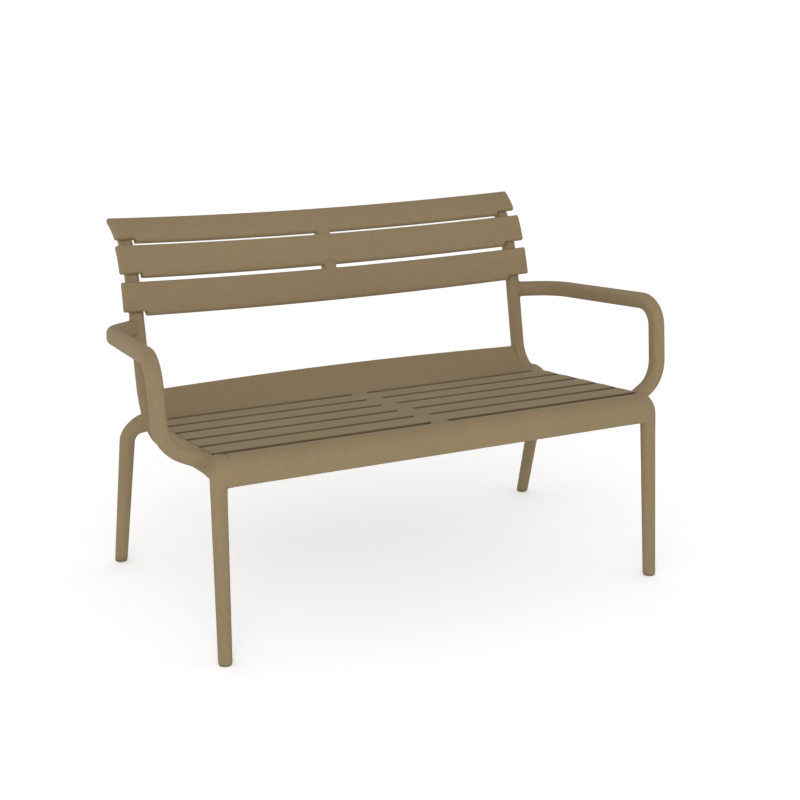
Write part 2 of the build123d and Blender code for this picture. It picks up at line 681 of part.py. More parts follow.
def side_rail():
    """Right side rail: rebate for the slats, shaped seats for board and back, sockets and screw ways."""
    ledge_bottom = BOARD_WALL + FIT + LEDGE_DEPTH
    ledge = board_band(0, BOARD_WALL / 2, ledge_bottom, BOARD_START + BOARD_WALL / 2, LEDGE_SHARE)
    ledge = extrude(ledge, LEDGE_WIDTH + HALF_RAIL / 2, dir=(-1, 0, 0))
    body = rail_blank(0) + Pos(-HALF_RAIL / 2, 0, 0) * ledge
    sockets = [side_peg(point, FIT) for point in SIDE_PEGS]
    ways = [inner_frame(point) * screw_way(PEG_GRIP, SCREW_BITE, RAIL_WIDTH) for point in SIDE_PEGS]
    ways.append(FRONT_LEG_SCREW * screw_way(PEG_GRIP, SCREW_BITE, RAIL_WIDTH))
    body = RIGHT * (body - sockets - front_peg(FIT) - ways)
    slats_run = BOARD_START - SEAT_GAP + FIT - APRON_TOP
    rebate = Box(RAIL_SPACING, slats_run, RAIL_DEPTH, align=(Align.CENTER, Align.MIN, Align.MIN))
    rebate = SEAT * Pos(POST_X, APRON_TOP, -REBATE) * rebate
    body = body - (rebate & rail_slice(-RAIL_WIDTH, SLAT_REACH))
    lug = Box(RAIL_SPACING, APRON_TOP - LUG_FRONT, LEDGE_DEPTH, align=(Align.CENTER, Align.MIN, Align.MAX))
    lug = SEAT * Pos(POST_X, LUG_FRONT, -APRON_WALL) * lug
    body = body + (lug & rail_slice(-HALF_RAIL - LEDGE_WIDTH, -HALF_RAIL / 2))
    body = body - trim_ends(board_blank(FIT), -HALF_RAIL)
    body = body - board_screws(screw_way(LEDGE_GRIP, SKIN_BITE, RAIL_DEPTH))[1]
    body = body - apron_screws(screw_way(LEDGE_GRIP, SKIN_BITE, RAIL_DEPTH))[1]
    for index in range(SEAT_SLATS):
        body = body - seat_screws(index, screw_way(SCREW_GRIP, SCREW_BITE, RAIL_DEPTH))[1]
    for index in range(BACK_SLATS):
        body = body - back_slat(index, FIT)
        body = body - back_screws(index, screw_way(SCREW_GRIP, SCREW_BITE, POST_DEPTH))[1]
    return body


def leg_blank(foot, knee, bend, turn):
    """Tapered round leg that turns inwards at its knee, cut level above its glide."""
    up = (knee - foot).normalized()
    across = Vector(-1, 0, 0)
    inward = (across - up * across.dot(up)).normalized()
    taper = (LEG_TOP_DIAMETER - LEG_FOOT_DIAMETER) / 2 / (knee - foot).length
    start = foot - up * LEG_FOOT_DIAMETER
    length = (knee - start).length
    foot_radius = LEG_TOP_DIAMETER / 2 - taper * length
    shaft = Cone(foot_radius, LEG_TOP_DIAMETER / 2, length, align=(Align.CENTER, Align.CENTER, Align.MIN))
    shaft = Plane(origin=start, z_dir=up) * shaft
    ring = Plane(origin=knee, z_dir=up) * Circle(LEG_TOP_DIAMETER / 2)
    elbow = revolve(ring, Axis(knee + inward * bend, up.cross(inward)), turn)
    floor = Pos(0, 0, GLIDE_THICKNESS - SEAT_HEIGHT / 2) * Box(SEAT_HEIGHT, SEAT_HEIGHT, SEAT_HEIGHT)
    stem = up_from(GLIDE_STEM_DIAMETER / 2 + FIT, GLIDE_STEM + FIT)
    return shaft + elbow - Pos(foot) * floor - Pos(foot) * Pos(0, 0, GLIDE_THICKNESS) * stem


def front_leg(rail_room):
    """Right front leg, shaped to the rail's end without the elbow's tip past it, with its peg."""
    body = leg_blank(FRONT_FOOT, FRONT_KNEE, FRONT_BEND, FRONT_TURN) - rail_room
    body = body.solids().sort_by(SortBy.VOLUME)[-1] + RIGHT * front_peg(0)
    return body - RIGHT * FRONT_LEG_SCREW * screw_way(PEG_GRIP, SCREW_BITE, SCREW_HEAD)


def with_side_pegs(body, rail_room, points):
    """Shape a piece to the rail and give it pegs across the rail, bored for their screws."""
    body = body - rail_room
    for point in points:
        body = body + RIGHT * side_peg(point, 0)
        body = body - RIGHT * inner_frame(point) * screw_way(PEG_GRIP, SCREW_BITE, SCREW_HEAD)
    return body


def arm_blank():
    """Armrest bar swept from inside the post to inside the rail."""
    path = Wire(rounded_path(ARM_CORNERS, ARM_RADII))
    heading = Vector(*ARM_ELBOW_STEP).normalized()
    level = heading.cross(Vector(0, 0, 1)).normalized()
    start = Plane(origin=ARM_POST, x_dir=level, z_dir=heading)
    return sweep(start * RectangleRounded(ARM_WIDTH, ARM_HEIGHT, ARM_ROUND), path=path)


def glide(foot):
    """Foot glide: a pad on the floor and a stem up into the leg."""
    pad = up_from(GLIDE_DIAMETER / 2, GLIDE_THICKNESS)
    pad = fillet(pad.edges().sort_by(Axis.Z)[0], GLIDE_EDGE)
    stem = up_from(GLIDE_STEM_DIAMETER / 2, GLIDE_THICKNESS + GLIDE_STEM)
    return Pos(foot) * (pad + stem)


def both_sides(pieces):
    """Right-hand pieces with their left-hand twins."""
    return pieces + [other_side(piece) for piece in pieces]


rail_room = RIGHT * rail_blank(FIT)
collar_middle = HALF_RAIL + COLLAR_LENGTH / 2
collar = Cone(COLLAR_DIAMETER / 2, LEG_TOP_DIAMETER / 2, COLLAR_LENGTH)
collar = RIGHT * Pos(collar_middle, *REAR_LEG_PEG) * Rot(0, 90, 0) * collar
rear_leg = leg_blank(REAR_FOOT, REAR_KNEE, REAR_BEND, REAR_TURN) + collar
pairs = {
    "side_rail": side_rail(),
    "armrest": with_side_pegs(arm_blank(), rail_room, [ARM_REAR_PEG, ARM_FRONT_PEG]),
    "front_leg": front_leg(rail_room),
    "rear_leg": with_side_pegs(rear_leg, rail_room, [REAR_LEG_PEG]),
    "front_glide": glide(FRONT_FOOT),
    "rear_glide": glide(REAR_FOOT),
}
nodes = {
    "front_apron": front_apron(),
    "seat_rear_board": rear_board(),
    "seat_centre_rib": centre_rib(),
    "back_centre_stile": centre_stile(),
}
for name, piece in pairs.items():
    nodes[name + "_right"] = piece
    nodes[name + "_left"] = other_side(piece)
for index in range(SEAT_SLATS):
    nodes[f"seat_slat_{index + 1}"] = seat_slat(index)
for index, name in enumerate(["bottom", "middle", "top"]):
    nodes["back_slat_" + name] = finished_back_slat(index)

# Screws, one node for each kind
slat_screw = screw(SCREW_GRIP, SCREW_BITE)
skin_screw = screw(LEDGE_GRIP, SKIN_BITE)
peg_screw = screw(PEG_GRIP, SCREW_BITE)
leg_frames = [FRONT_LEG_SCREW, inner_frame(REAR_LEG_PEG)]
arm_frames = [inner_frame(ARM_REAR_PEG), inner_frame(ARM_FRONT_PEG)]
groups = {
    "seat_slat_screws": sum([seat_screws(index, slat_screw) for index in range(SEAT_SLATS)], []),
    "back_slat_screws": sum([back_screws(index, slat_screw) for index in range(BACK_SLATS)], []),
    "apron_screws": apron_screws(skin_screw),
    "rear_board_screws": board_screws(skin_screw),
    "leg_screws": both_sides([RIGHT * frame * peg_screw for frame in leg_frames]),
    "armrest_screws": both_sides([RIGHT * frame * peg_screw for frame in arm_frames]),
}

# Set the origin under the middle of the bench and write each piece
boxes = [piece.bounding_box() for piece in nodes.values()]
front = min(box.min.Y for box in boxes)
back = max(box.max.Y for box in boxes)
to_origin = Pos(0, -(front + back) / 2, 0)
os.makedirs("parts", exist_ok=True)
for name, piece in nodes.items():
    export_step(to_origin * piece, f"parts/{name}.step")
for name, pieces in groups.items():
    export_step(Compound(children=[to_origin * piece for piece in pieces]), f"parts/{name}.step")
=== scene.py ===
# %% [markdown]
# # A slatted resin bench
# The bench is a garden seat of moulded plastic: bent side bars, round splayed legs, flat slats.
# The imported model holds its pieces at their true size, as a fixed frame. This lesson sets up the
# photograph's camera, lets the pieces flow into one another as they do in a moulding, gives each
# one a grained finish, and lights the bench as in a white studio.

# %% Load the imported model
import json
from math import radians

import bpy
import numpy as np
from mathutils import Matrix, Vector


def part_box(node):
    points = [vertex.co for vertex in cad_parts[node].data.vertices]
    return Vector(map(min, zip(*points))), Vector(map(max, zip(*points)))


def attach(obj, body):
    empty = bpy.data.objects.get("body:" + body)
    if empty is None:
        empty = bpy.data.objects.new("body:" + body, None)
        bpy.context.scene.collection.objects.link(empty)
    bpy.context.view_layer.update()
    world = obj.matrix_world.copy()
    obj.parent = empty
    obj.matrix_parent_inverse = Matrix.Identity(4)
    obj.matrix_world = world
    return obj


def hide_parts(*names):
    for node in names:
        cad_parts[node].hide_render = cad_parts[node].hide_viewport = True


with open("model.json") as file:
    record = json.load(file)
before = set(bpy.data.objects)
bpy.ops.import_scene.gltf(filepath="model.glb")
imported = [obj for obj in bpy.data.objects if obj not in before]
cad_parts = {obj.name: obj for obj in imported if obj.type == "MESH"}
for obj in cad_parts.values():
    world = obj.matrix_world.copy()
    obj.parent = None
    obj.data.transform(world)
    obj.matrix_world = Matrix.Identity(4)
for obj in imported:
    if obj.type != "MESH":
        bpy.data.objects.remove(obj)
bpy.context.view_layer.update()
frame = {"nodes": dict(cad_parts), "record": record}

# %% [markdown]
# ## The camera
# The photograph was taken from the bench's front left, at about chest height. A camera has a
# place, a heading and a lens. The three were solved from corners of the bench, so here they are
# only written down. Nothing is shifted, because the picture's middle is the lens's middle.

# %% Camera
APRON_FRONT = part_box("front_apron")[0][1]
CAMERA_PLACE = (-1.30922, APRON_FRONT - 2.39245, 1.24489)
CAMERA_HEADING = 26.45
CAMERA_DIP = 15.93
FOCAL_PIXELS = 1416.93
PICTURE_PIXELS = 800
SENSOR_WIDTH = 36.0

camera = bpy.data.objects.new("photo_camera", bpy.data.cameras.new("photo_camera"))
camera.data.sensor_width = SENSOR_WIDTH
camera.data.lens = FOCAL_PIXELS * SENSOR_WIDTH / PICTURE_PIXELS
camera.location = CAMERA_PLACE
camera.rotation_euler = (radians(90 - CAMERA_DIP), 0, -radians(CAMERA_HEADING))
bpy.context.scene.collection.objects.link(camera)
bpy.context.scene.camera = camera
print("lens", round(camera.data.lens, 2), "mm at", CAMERA_PLACE)

# %% [markdown]
# ## Surfaces from rings
# Floor, legs and stoppers are all rings of points, one after another. If every ring has the same
# number of points, four neighbours make a face, and the last point of a ring meets its first.

# %% Ring surfaces
def ring_quads(count, sides):
    """Faces between neighbouring rings: points j and j + 1 of ring i, then of ring i + 1, going back."""
    i, j = np.meshgrid(np.arange(count - 1) * sides, np.arange(sides), indexing="ij")
    k = (j + 1) % sides
    return np.stack([i + j, i + k, i + sides + k, i + sides + j], -1).reshape(-1, 4)


def closed_tube(rings):
    """Points and triangles of a tube through rings, with each end closed by a fan about its middle."""
    count, sides = rings.shape[:2]
    quads = ring_quads(count, sides)
    j = np.arange(sides)
    k = np.roll(j, -1)
    hub = np.full(sides, count * sides)
    last = (count - 1) * sides
    fans = [np.stack([hub, k, j], 1), np.stack([hub + 1, last + j, last + k], 1)]
    faces = np.concatenate([quads[:, [0, 1, 2]], quads[:, [0, 2, 3]], *fans])
    return np.concatenate([rings.reshape(-1, 3), rings[[0, -1]].mean(axis=1)]), faces


def mesh_piece(name, points, faces):
    """A mesh object at the origin from arrays of points and faces, shaded smooth."""
    mesh = bpy.data.meshes.new(name)
    mesh.from_pydata(points.tolist(), [], faces.tolist())
    mesh.polygons.foreach_set("use_smooth", np.ones(len(mesh.polygons), bool))
    mesh.update()
    piece = bpy.data.objects.new(name, mesh)
    bpy.context.scene.collection.objects.link(piece)
    return piece


print("faces round a ring of four:", ring_quads(2, 4).tolist())

# %% [markdown]
# ## The floor
# A studio sweep is a floor that turns up into a wall without a corner, so no horizon shows.
# A flat plane would end in a hard line. This one is a bowl: a profile of a straight run and a
# quarter circle, turned all the way round the bench, so it serves every view.

# %% Floor
def turned_sweep(flat, rise, rings, spokes):
    """A profile (flat run, then a quarter circle of radius rise) turned about the Z axis:
    x = r cos a, y = r sin a, with r and z taken along the profile."""
    run = np.linspace(0, flat, rings // 2, endpoint=False)
    turn = np.linspace(0, np.pi / 2, rings - rings // 2)
    r = np.concatenate([run, flat + rise * np.sin(turn)])
    z = np.concatenate([0 * run, rise * (1 - np.cos(turn))])
    a = np.linspace(0, 2 * np.pi, spokes, endpoint=False)
    points = np.stack([np.outer(r, np.cos(a)), np.outer(r, np.sin(a)), np.outer(z, 1 + 0 * a)], -1)
    return points.reshape(-1, 3), ring_quads(rings, spokes)[:, ::-1]


floor = mesh_piece("pale_floor", *turned_sweep(flat=7.0, rise=4.0, rings=48, spokes=96))
print("floor faces:", len(floor.data.polygons))

# %% [markdown]
# ## Flowing joints
# The real bench runs from arm to rail to leg in one skin: no seam shows, and every inner corner is
# a soft hollow. The model's pieces are separate, so hairlines and hard creases show where they
# meet. A formula for such a corner would need every bar's shape again, so the hollow is grown
# from the pieces themselves. First their meshes are read as arrays and put into one.

# %% Copies of pieces, joined
def vertex_values(mesh, name):
    """A vertex vector such as co or normal as an array of rows."""
    values = np.empty(3 * len(mesh.vertices))
    mesh.vertices.foreach_get(name, values)
    return values.reshape(-1, 3)


def face_corners(mesh, corners):
    """The vertex numbers of each face, for a mesh whose faces all have that many corners."""
    numbers = np.empty(len(mesh.loops), int)
    mesh.loops.foreach_get("vertex_index", numbers)
    return numbers.reshape(-1, corners)


def piece_arrays(name):
    """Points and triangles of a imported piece, its loose corners merged to a hundredth of a millimetre."""
    mesh = frame["nodes"][name].data
    merged, index = np.unique(np.round(vertex_values(mesh, "co"), 5), axis=0, return_inverse=True)
    faces = index.reshape(-1)[face_corners(mesh, 3)]
    apart = (faces != np.roll(faces, 1, axis=1)).all(axis=1)
    return merged, faces[apart]


def stacked(parts):
    """Several (points, faces) pairs as one pair: each part's face numbers start after the last."""
    starts = np.cumsum([0] + [len(points) for points, _ in parts[:-1]])
    points = np.concatenate([points for points, _ in parts])
    faces = np.concatenate([faces + start for start, (_, faces) in zip(starts, parts)])
    return points, faces


def block(low, high):
    """The six quads of a box between two corners: each corner takes low or high by a bit."""
    pick = np.indices((2, 2, 2)).reshape(3, 8).T
    faces = [[0, 1, 3, 2], [4, 6, 7, 5], [0, 4, 5, 1], [2, 3, 7, 6], [0, 2, 6, 4], [1, 5, 7, 3]]
    return np.where(pick, high, low), np.array(faces)


print("arm bar:", [len(part) for part in piece_arrays("armrest_right")])

# %% [markdown]
# The joined copies are cut to a block round the joint and voxel remeshed, which closes the
# hairlines. A smoothed twin of that mesh tells how far each inner corner should fill: where the
# twin stands out, the corner is hollow. Where it lies deeper, the surface stays as it is.

# %% Grow the hollows
JOINT_VOXEL = 0.0013
SLAT_VOXEL = 0.0018
SMOOTH_STEPS = 150
PROUD = 0.0002


def shaped(piece):
    """The mesh that a piece's modifiers make."""
    return bpy.data.meshes.new_from_object(piece.evaluated_get(bpy.context.evaluated_depsgraph_get()))


def grown(parts, low, high, voxel):
    """Points, normals, fill and quads of joined parts cut to a box, voxel remeshed. Fill is how far
    a smoothed twin stands out along the normal: step / 2 + sqrt(step^2 + PROUD^2) / 2, never inward."""
    blank = mesh_piece("joint_blank", *stacked(parts))
    knife = mesh_piece("joint_knife", *block(low, high))
    cut = blank.modifiers.new("cut", "BOOLEAN")
    cut.operation = "INTERSECT"
    cut.use_self = True
    cut.object = knife
    voxels = blank.modifiers.new("voxels", "REMESH")
    voxels.mode = "VOXEL"
    voxels.voxel_size = voxel
    skin = shaped(blank)
    blank.modifiers.clear()
    blank.data = skin
    blank.modifiers.new("smooth", "SMOOTH").iterations = SMOOTH_STEPS
    twin = shaped(blank)
    points = vertex_values(skin, "co")
    normals = vertex_values(skin, "normal")
    step = ((vertex_values(twin, "co") - points) * normals).sum(axis=1)
    fill = (step + np.sqrt(step ** 2 + PROUD ** 2)) / 2
    faces = face_corners(skin, 4)
    for piece in (blank, knife):
        bpy.data.objects.remove(piece)
    return points, normals, fill, faces


print("voxels of", 1000 * JOINT_VOXEL, "mm at the joints,", 1000 * SLAT_VOXEL, "mm on the slats")

# %% [markdown]
# A joint's skin stands a hair proud of the bars in its core. Further out it eases down and dives
# under them, so that its rim never shows. A back slat is one whole skin instead, and stands in
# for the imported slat: only the groove above its rolled edge fills.

# %% Skins
SUNK = 0.00045
BLOCK_MARGIN = 0.012
SLAT_MARGIN = 0.01


def eased(share):
    """A share held between 0 and 1, with a soft start and end: s^2 (3 - 2 s)."""
    share = np.clip(share, 0, 1)
    return share ** 2 * (3 - 2 * share)


def joint_skin(names, middles, core, reach, more=()):
    """Skin over a joint. Along its normal, each point moves by weight * (fill + PROUD)
    - SUNK * (1 - weight). Weight is 1 within core of the nearest middle and eases to 0 at reach,
    where the skin lies under the bars."""
    middles = np.array(middles)
    parts = [piece_arrays(name) for name in names] + list(more)
    margin = reach + BLOCK_MARGIN
    low, high = middles.min(axis=0) - margin, middles.max(axis=0) + margin
    points, normals, fill, faces = grown(parts, low, high, JOINT_VOXEL)
    apart = np.sqrt(((points[:, None] - middles) ** 2).sum(axis=2)).min(axis=1)
    weight = eased((reach - apart) / (reach - core))
    move = weight * (fill + PROUD) - SUNK * (1 - weight)
    return points + normals * move[:, None], faces


def rolled_slat(name):
    """A back slat as one skin: each point moves out by its fill, so that the groove above the
    rolled lower edge closes and all else stays."""
    low, high = (np.array(corner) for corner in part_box(name))
    slat = [piece_arrays(name)]
    points, normals, fill, faces = grown(slat, low - SLAT_MARGIN, high + SLAT_MARGIN, SLAT_VOXEL)
    return np.clip(points + normals * fill[:, None], low, high), faces


def mirrored(points, faces):
    """The left-hand twin: x changes sign, and each face runs the other way round."""
    return points * (-1, 1, 1), faces[:, ::-1]


print("half way in, a skin's weight is", eased(0.5))

# %% [markdown]
# ## Rear legs
# Each rear leg climbs from its glide and turns in towards the rail, swelling on the way, as a
# moulded elbow does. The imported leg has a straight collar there, so one smooth surface stands in
# for it: a tube about a bent middle line, which ends in a dome inside the rail.

# %% Rear leg
RAIL_MIDDLE = 0.477
ELBOW_BEND = 0.042
FOOT_RADIUS = 0.014
KNEE_RADIUS = 0.0165
FLARE = 0.0035
FLARE_START = 40.0
DOME_DEPTH = 0.013
LEG_SIDES = 48
SHAFT_SHARES = np.concatenate([[0], np.linspace(0.07, 1, 36)])
ELBOW_DEGREES = np.linspace(2, 84, 44)
DOME_DEGREES = np.linspace(8, 84, 12)


def beside_rail(out, back, up):
    """A place by the right rail in metres: out from its middle, back from the apron, up from the floor."""
    return (RAIL_MIDDLE + out, APRON_FRONT + back, up)


def swept_leg(foot, corner, level):
    """Round leg as one surface. Its middle climbs from foot to knee, then turns by t towards the rail:
    knee + inward * bend * (1 - cos t) + up * bend * sin t. A ring is middle + r * (cos a * first
    + sin a * hinge). Its r grows up the shaft, swells along the elbow and falls by a cosine over the
    dome. The lowest ring slides along the leg to a level cut."""
    up = (corner - foot) / np.linalg.norm(corner - foot)
    inward = up * up[0] - (1, 0, 0)
    inward /= np.linalg.norm(inward)
    hinge = np.cross(up, inward)
    knee = corner - up * ELBOW_BEND
    climb = SHAFT_SHARES[:, None]
    turn = np.radians(ELBOW_DEGREES)[:, None]
    dome = np.radians(DOME_DEGREES)[:, None]
    shaft = foot + climb * (knee - foot)
    elbow = knee + inward * ELBOW_BEND * (1 - np.cos(turn)) + up * ELBOW_BEND * np.sin(turn)
    heading = inward * np.sin(turn[-1]) + up * np.cos(turn[-1])
    middles = np.concatenate([shaft, elbow, elbow[-1] + heading * DOME_DEPTH * np.sin(dome)])
    swell = FLARE * eased((ELBOW_DEGREES - FLARE_START) / (ELBOW_DEGREES[-1] - FLARE_START))[:, None]
    taper = FOOT_RADIUS + climb * (KNEE_RADIUS - FOOT_RADIUS)
    radius = np.concatenate([taper, KNEE_RADIUS + swell, (KNEE_RADIUS + FLARE) * np.cos(dome)])
    across = inward * np.cos(turn) - up * np.sin(turn)
    first = np.concatenate([inward + 0 * climb, across, across[-1] + 0 * dome])
    a = np.linspace(0, 2 * np.pi, LEG_SIDES, endpoint=False)[:, None]
    rings = middles[:, None] + radius[:, None] * (np.cos(a) * first[:, None] + np.sin(a) * hinge)
    rings[0] += up * ((level - rings[0, :, 2:]) / up[2])
    return closed_tube(rings)


REAR_FOOT = np.mean(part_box("rear_glide_right"), axis=0) * (1, 1, 0)
REAR_CORNER = np.array(beside_rail(0.0512, 0.50077, 0.35077))
REAR_LEG = swept_leg(REAR_FOOT, REAR_CORNER, level=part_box("rear_leg_right")[0][2])
print("rear leg:", len(REAR_LEG[0]), "points up to", round(REAR_LEG[0][:, 2].max(), 3), "m")

# %% [markdown]
# ## Making the skins
# Joints are made on the right and mirrored to the left. At the post, a stopper first fills the
# bore of the arm's screw, since no screw shows there in the photograph. Webs join the back slats
# where the stile crosses the gaps between them.

# %% Joints, legs, slats and webs
ARM_BORE = beside_rail(0.0, 0.5699, 0.5461)
BORE_RIM = 0.0008
BACK_WEBS = {"middle": ("bottom", 0.6057, 0.6418), "top": ("middle", 0.6430, 0.7142)}


def stopper(name, middle, radius, depth, sides=32):
    """A round stopper that fills a bore across a piece, flush with the piece's inner face: two rings
    of radius r about the bore's axis, y = r cos a and z = r sin a."""
    points = piece_arrays(name)[0]
    near = np.hypot(*(points[:, 1:] - middle[1:]).T) < radius + BORE_RIM
    face = points[near, 0].min()
    a = np.linspace(0, 2 * np.pi, sides, endpoint=False)
    ring = np.stack([0 * a, middle[1] + radius * np.cos(a), middle[2] + radius * np.sin(a)], 1)
    return closed_tube(np.stack([ring + (face, 0, 0), ring + (face + depth, 0, 0)]))


JOINTS = {
    "front_joint": joint_skin(
        ["side_rail_right", "front_apron", "front_leg_right", "armrest_right"],
        [beside_rail(0.006, 0.016, 0.380), beside_rail(0.016, 0.068, 0.384)], core=0.042, reach=0.075,
    ),
    "rear_leg_joint": joint_skin(
        ["side_rail_right"], [beside_rail(0.020, 0.501, 0.351)], core=0.032, reach=0.055, more=[REAR_LEG],
    ),
    "arm_joint": joint_skin(
        ["side_rail_right", "armrest_right"], [beside_rail(0.010, 0.569, 0.546)], core=0.028, reach=0.048,
        more=[stopper("side_rail_right", ARM_BORE, radius=0.0047, depth=0.003)],
    ),
}
skins = []
for name, surface in JOINTS.items():
    skins.append(mesh_piece(name + "_right", *surface))
    skins.append(mesh_piece(name + "_left", *mirrored(*surface)))
for side, surface in (("right", REAR_LEG), ("left", mirrored(*REAR_LEG))):
    skins.append(mesh_piece("moulded_rear_leg_" + side, *surface))
    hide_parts("rear_leg_" + side)
for name in ("bottom", "middle", "top"):
    skins.append(mesh_piece("rolled_slat_" + name, *rolled_slat("back_slat_" + name)))
    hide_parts("back_slat_" + name)
for upper, (lower, back, up) in BACK_WEBS.items():
    names = ["back_slat_" + upper, "back_slat_" + lower, "back_centre_stile"]
    web = joint_skin(names, [(0, APRON_FRONT + back, up)], core=0.018, reach=0.034)
    skins.append(mesh_piece("back_web_under_" + upper, *web))
for skin in skins:
    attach(skin, "root")
print({skin.name: len(skin.data.polygons) for skin in skins})

# %% [markdown]
# ## Moulded grain, used by every finish
# A mould leaves a fine pebbled skin, and the colour of the granules is never quite even. Both are
# patterns in space, so the group reads Object coordinates in metres: a slow drift of tone over a
# third of a metre, a mottle of about a centimetre, and on the resin a pebble of under a millimetre.

# %% Node group
def node(tree, kind, **values):
    """A node with its properties set by name, and its unlinked inputs by label."""
    made = tree.nodes.new(kind)
    for name, value in values.items():
        if hasattr(made, name):
            setattr(made, name, value)
        else:
            made.inputs[name.replace("_", " ")].default_value = value
    return made


def moulded_grain():
    """Tone = 1 + drift*(noise - half) + mottle*(noise - half); Pebble = fine noise, for a bump;
    Mask = the mottle's noise, for roughness."""
    tree = bpy.data.node_groups.new("Moulded grain", "ShaderNodeTree")
    for name in ("Drift", "Mottle", "Pebble scale"):
        tree.interface.new_socket(name=name, in_out="INPUT", socket_type="NodeSocketFloat")
    for name in ("Tone", "Pebble", "Mask"):
        tree.interface.new_socket(name=name, in_out="OUTPUT", socket_type="NodeSocketFloat")
    inside = node(tree, "NodeGroupInput")
    outside = node(tree, "NodeGroupOutput")
    place = node(tree, "ShaderNodeTexCoord").outputs["Object"]
    slow = node(tree, "ShaderNodeTexNoise", Scale=3.0, Detail=2.0)
    fine = node(tree, "ShaderNodeTexNoise", Scale=90.0, Detail=4.0, Roughness=0.6)
    pebble = node(tree, "ShaderNodeTexNoise", Detail=2.0)
    for texture in (slow, fine, pebble):
        tree.links.new(place, texture.inputs["Vector"])
    tree.links.new(inside.outputs["Pebble scale"], pebble.inputs["Scale"])
    tone = None
    for texture, name in ((slow, "Drift"), (fine, "Mottle")):
        centred = node(tree, "ShaderNodeMath", operation="SUBTRACT")
        centred.inputs[1].default_value = 0.5
        tree.links.new(texture.outputs["Fac"], centred.inputs[0])
        step = node(tree, "ShaderNodeMath", operation="MULTIPLY_ADD")
        step.inputs[2].default_value = 1.0
        tree.links.new(centred.outputs[0], step.inputs[0])
        tree.links.new(inside.outputs[name], step.inputs[1])
        if tone:
            tree.links.new(tone, step.inputs[2])
        tone = step.outputs[0]
    tree.links.new(tone, outside.inputs["Tone"])
    tree.links.new(pebble.outputs["Fac"], outside.inputs["Pebble"])
    tree.links.new(fine.outputs["Fac"], outside.inputs["Mask"])
    return tree


GRAIN = moulded_grain()
print("group:", GRAIN.name, "with", len(GRAIN.nodes), "nodes")

# %% [markdown]
# ## Finishes
# A finish is one shader that stays in its material, with the constant values on its own sockets.
# Only tone, roughness and bump come from the grain group.

# %% One grained finish
def ranged(tree, value, start, end, low, high, **kind):
    """A value mapped from start..end to low..high, and held beyond both ends."""
    ends = dict(From_Min=start, From_Max=end, To_Min=low, To_Max=high)
    mapped = node(tree, "ShaderNodeMapRange", **kind, **ends)
    tree.links.new(value, mapped.inputs["Value"])
    return mapped.outputs[0]


def grained(name, colour, rough, swing, drift, mottle, pebble, bump, depth, painted_slat_shade=None, **constants):
    """Principled finish: base colour times Tone, roughness swung by Mask, bump from Pebble. Given a
    painted-shade function, the tone is also multiplied by the painted shade that it puts out into the
    node tree. Constants go to the shader's sockets by label."""
    material = bpy.data.materials.new(name)
    material.use_nodes = True
    tree = material.node_tree
    shader = tree.nodes["Principled BSDF"]
    for label, value in constants.items():
        shader.inputs[label.replace("_", " ")].default_value = value
    grain = node(tree, "ShaderNodeGroup", node_tree=GRAIN)
    for label, value in (("Drift", drift), ("Mottle", mottle), ("Pebble scale", pebble)):
        grain.inputs[label].default_value = value
    tint = node(tree, "ShaderNodeVectorMath", operation="SCALE")
    tint.inputs[0].default_value = colour
    tone = grain.outputs["Tone"]
    # Painted shade: the tone is darkened by the given shade function.
    if painted_slat_shade:
        both = node(tree, "ShaderNodeMath", operation="MULTIPLY")
        tree.links.new(tone, both.inputs[0])
        tree.links.new(painted_slat_shade(tree), both.inputs[1])
        tone = both.outputs[0]
    tree.links.new(tone, tint.inputs["Scale"])
    tree.links.new(tint.outputs[0], shader.inputs["Base Color"])
    roughness = ranged(tree, grain.outputs["Mask"], 0, 1, rough - swing, rough + swing)
    tree.links.new(roughness, shader.inputs["Roughness"])
    height = node(tree, "ShaderNodeBump", Strength=bump, Distance=depth)
    tree.links.new(grain.outputs["Pebble"], height.inputs["Height"])
    tree.links.new(height.outputs[0], shader.inputs["Normal"])
    return material


print("every finish shares", GRAIN.name)

# %% [markdown]
# The bench is one olive taupe resin with a dull sheen. The seat slats' resin is painted darker
# below their edges, as painted shade in the gaps of the seat. The glides are a rubber near the
# resin's colour, and the screws underneath are plain steel.

# %% Resin, rubber and steel
SEAT_FALL = radians(5.8)
SEAT_FRONT_HEIGHT = 0.4147
EDGE_TOP = 0.0002
EDGE_FOOT = 0.0024
# Tone of the painted shade that darkens the slats below their edges.
GAP_SHADE_TONE = 0.42
TAUPE = dict(
    colour=(0.260, 0.194, 0.107), rough=0.74, swing=0.08, drift=0.14, mottle=0.24,
    pebble=1100.0, bump=0.25, depth=0.0003, Specular_IOR_Level=0.2,
)


def painted_gap_shade(tree):
    """Painted shade of a slat: its tone is 1 on its top and falls to the shade tone below its edge,
    where shade falls between the slats. The depth under the seat plane is (front height - z) cos p - (y -
    apron front) sin p, with p the seat's fall."""
    down = node(tree, "ShaderNodeVectorMath", operation="DOT_PRODUCT")
    down.inputs[1].default_value = (0, -np.sin(SEAT_FALL), -np.cos(SEAT_FALL))
    tree.links.new(node(tree, "ShaderNodeTexCoord").outputs["Object"], down.inputs[0])
    offset = SEAT_FRONT_HEIGHT * np.cos(SEAT_FALL) + APRON_FRONT * np.sin(SEAT_FALL)
    top, foot = EDGE_TOP - offset, EDGE_FOOT - offset
    return ranged(tree, down.outputs["Value"], top, foot, 1.0, GAP_SHADE_TONE, interpolation_type="SMOOTHSTEP")


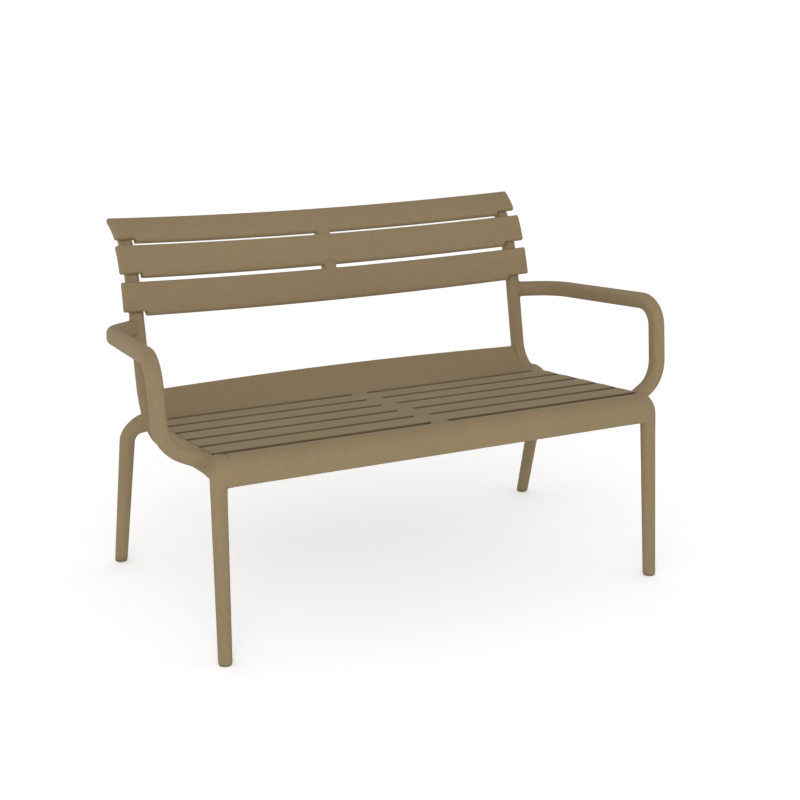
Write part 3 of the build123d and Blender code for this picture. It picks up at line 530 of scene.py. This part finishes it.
resin = grained("olive_taupe_resin", **TAUPE)
# The slats' resin carries painted shade: it is darker below their edges, where shade falls in the gaps.
slat_resin_painted_shade = grained("olive_taupe_slats_painted_shade", painted_slat_shade=painted_gap_shade, **TAUPE)
rubber = grained(
    "glide_rubber", (0.185, 0.140, 0.082), rough=0.80, swing=0.08, drift=0.1, mottle=0.2,
    pebble=1500.0, bump=0.4, depth=0.0004,
)
steel = grained(
    "screw_steel", (0.46, 0.45, 0.44), rough=0.33, swing=0.10, drift=0.05, mottle=0.10,
    pebble=2600.0, bump=0.15, depth=0.0002, Metallic=1.0,
)
FINISHES = {"bench_resin": resin, "glide_rubber": rubber, "screw_steel": steel}
slots = {part["node"]: part["material_slot"] for part in frame["record"]["subparts"]}
for name, piece in frame["nodes"].items():
    seat_board = name.startswith("seat_slat_") or name == "seat_rear_board"
    # Seat slats and the rear board get the resin with painted shade below their edges.
    gap_shaded = seat_board and slots[name] == "bench_resin"
    piece.data.materials.clear()
    piece.data.materials.append(slat_resin_painted_shade if gap_shaded else FINISHES[slots[name]])
for skin in skins:
    skin.data.materials.append(resin)
print({slot: sum(value == slot for value in slots.values()) for slot in FINISHES})

# %% [markdown]
# ## Light
# The photograph is a bright studio picture on white: light comes from all round, a little more of
# it from the front left, and nothing throws a hard shadow. The floor is nearly white, so that it
# fills in from below. It glows a little, and more as the camera sees it, so that it reads as
# white paper. Its back is clear, so that the bench can be looked at from underneath too.

# %% Floor finish
FLOOR_GLOW = 0.18
FLOOR_GLOW_SEEN = 0.28

white_floor = grained(
    "white_floor", (0.94, 0.94, 0.935), rough=0.85, swing=0.05, drift=0.01, mottle=0.01,
    pebble=300.0, bump=0.02, depth=0.0005, Emission_Color=(1.0, 1.0, 1.0, 1.0),
)
studio = white_floor.node_tree
paper = studio.nodes["Principled BSDF"]
seen = node(studio, "ShaderNodeLightPath").outputs["Is Camera Ray"]
glow = ranged(studio, seen, 0, 1, FLOOR_GLOW, FLOOR_GLOW_SEEN)
studio.links.new(glow, paper.inputs["Emission Strength"])
clear = node(studio, "ShaderNodeBsdfTransparent")
one_way = node(studio, "ShaderNodeMixShader")
studio.links.new(node(studio, "ShaderNodeNewGeometry").outputs["Backfacing"], one_way.inputs["Fac"])
studio.links.new(paper.outputs[0], one_way.inputs[1])
studio.links.new(clear.outputs[0], one_way.inputs[2])
studio.links.new(one_way.outputs[0], studio.nodes["Material Output"].inputs["Surface"])
floor.data.materials.append(white_floor)
print("floor glows", FLOOR_GLOW, "and", FLOOR_GLOW_SEEN, "as seen")

# %% [markdown]
# A white world gives the even light. It is brightest near the horizon and falls off overhead, so
# that upright faces are lit as well as level ones. One broad panel at the front left gives the
# light its direction.

# %% World and panel
FALL_START = 0.25
SIDE_LIGHT = 1.25
TOP_LIGHT = 0.42

world = bpy.data.worlds.new("studio_white")
world.use_nodes = True
sky = world.node_tree
sky.nodes["Background"].inputs["Color"].default_value = (1.0, 1.0, 1.0, 1.0)
height = node(sky, "ShaderNodeSeparateXYZ")
sky.links.new(node(sky, "ShaderNodeTexCoord").outputs["Generated"], height.inputs[0])
fall = ranged(sky, height.outputs["Z"], FALL_START, 1.0, SIDE_LIGHT, TOP_LIGHT)
sky.links.new(fall, sky.nodes["Background"].inputs["Strength"])
bpy.context.scene.world = world


def light_panel(name, place, aim, size, power):
    """A square area light that faces a point."""
    lamp = bpy.data.lights.new(name, "AREA")
    lamp.size = size
    lamp.energy = power
    panel = bpy.data.objects.new(name, lamp)
    direction = np.subtract(aim, place)
    flat = np.hypot(direction[0], direction[1])
    panel.location = place
    panel.rotation_euler = (np.arctan2(flat, -direction[2]), 0, np.arctan2(-direction[0], direction[1]))
    bpy.context.scene.collection.objects.link(panel)


light_panel("front_panel", place=(-1.8, -3.4, 2.6), aim=(0, 0, 0.45), size=2.4, power=40.0)
bpy.context.scene.view_settings.view_transform = "Standard"
print("lit by a white world and one panel")
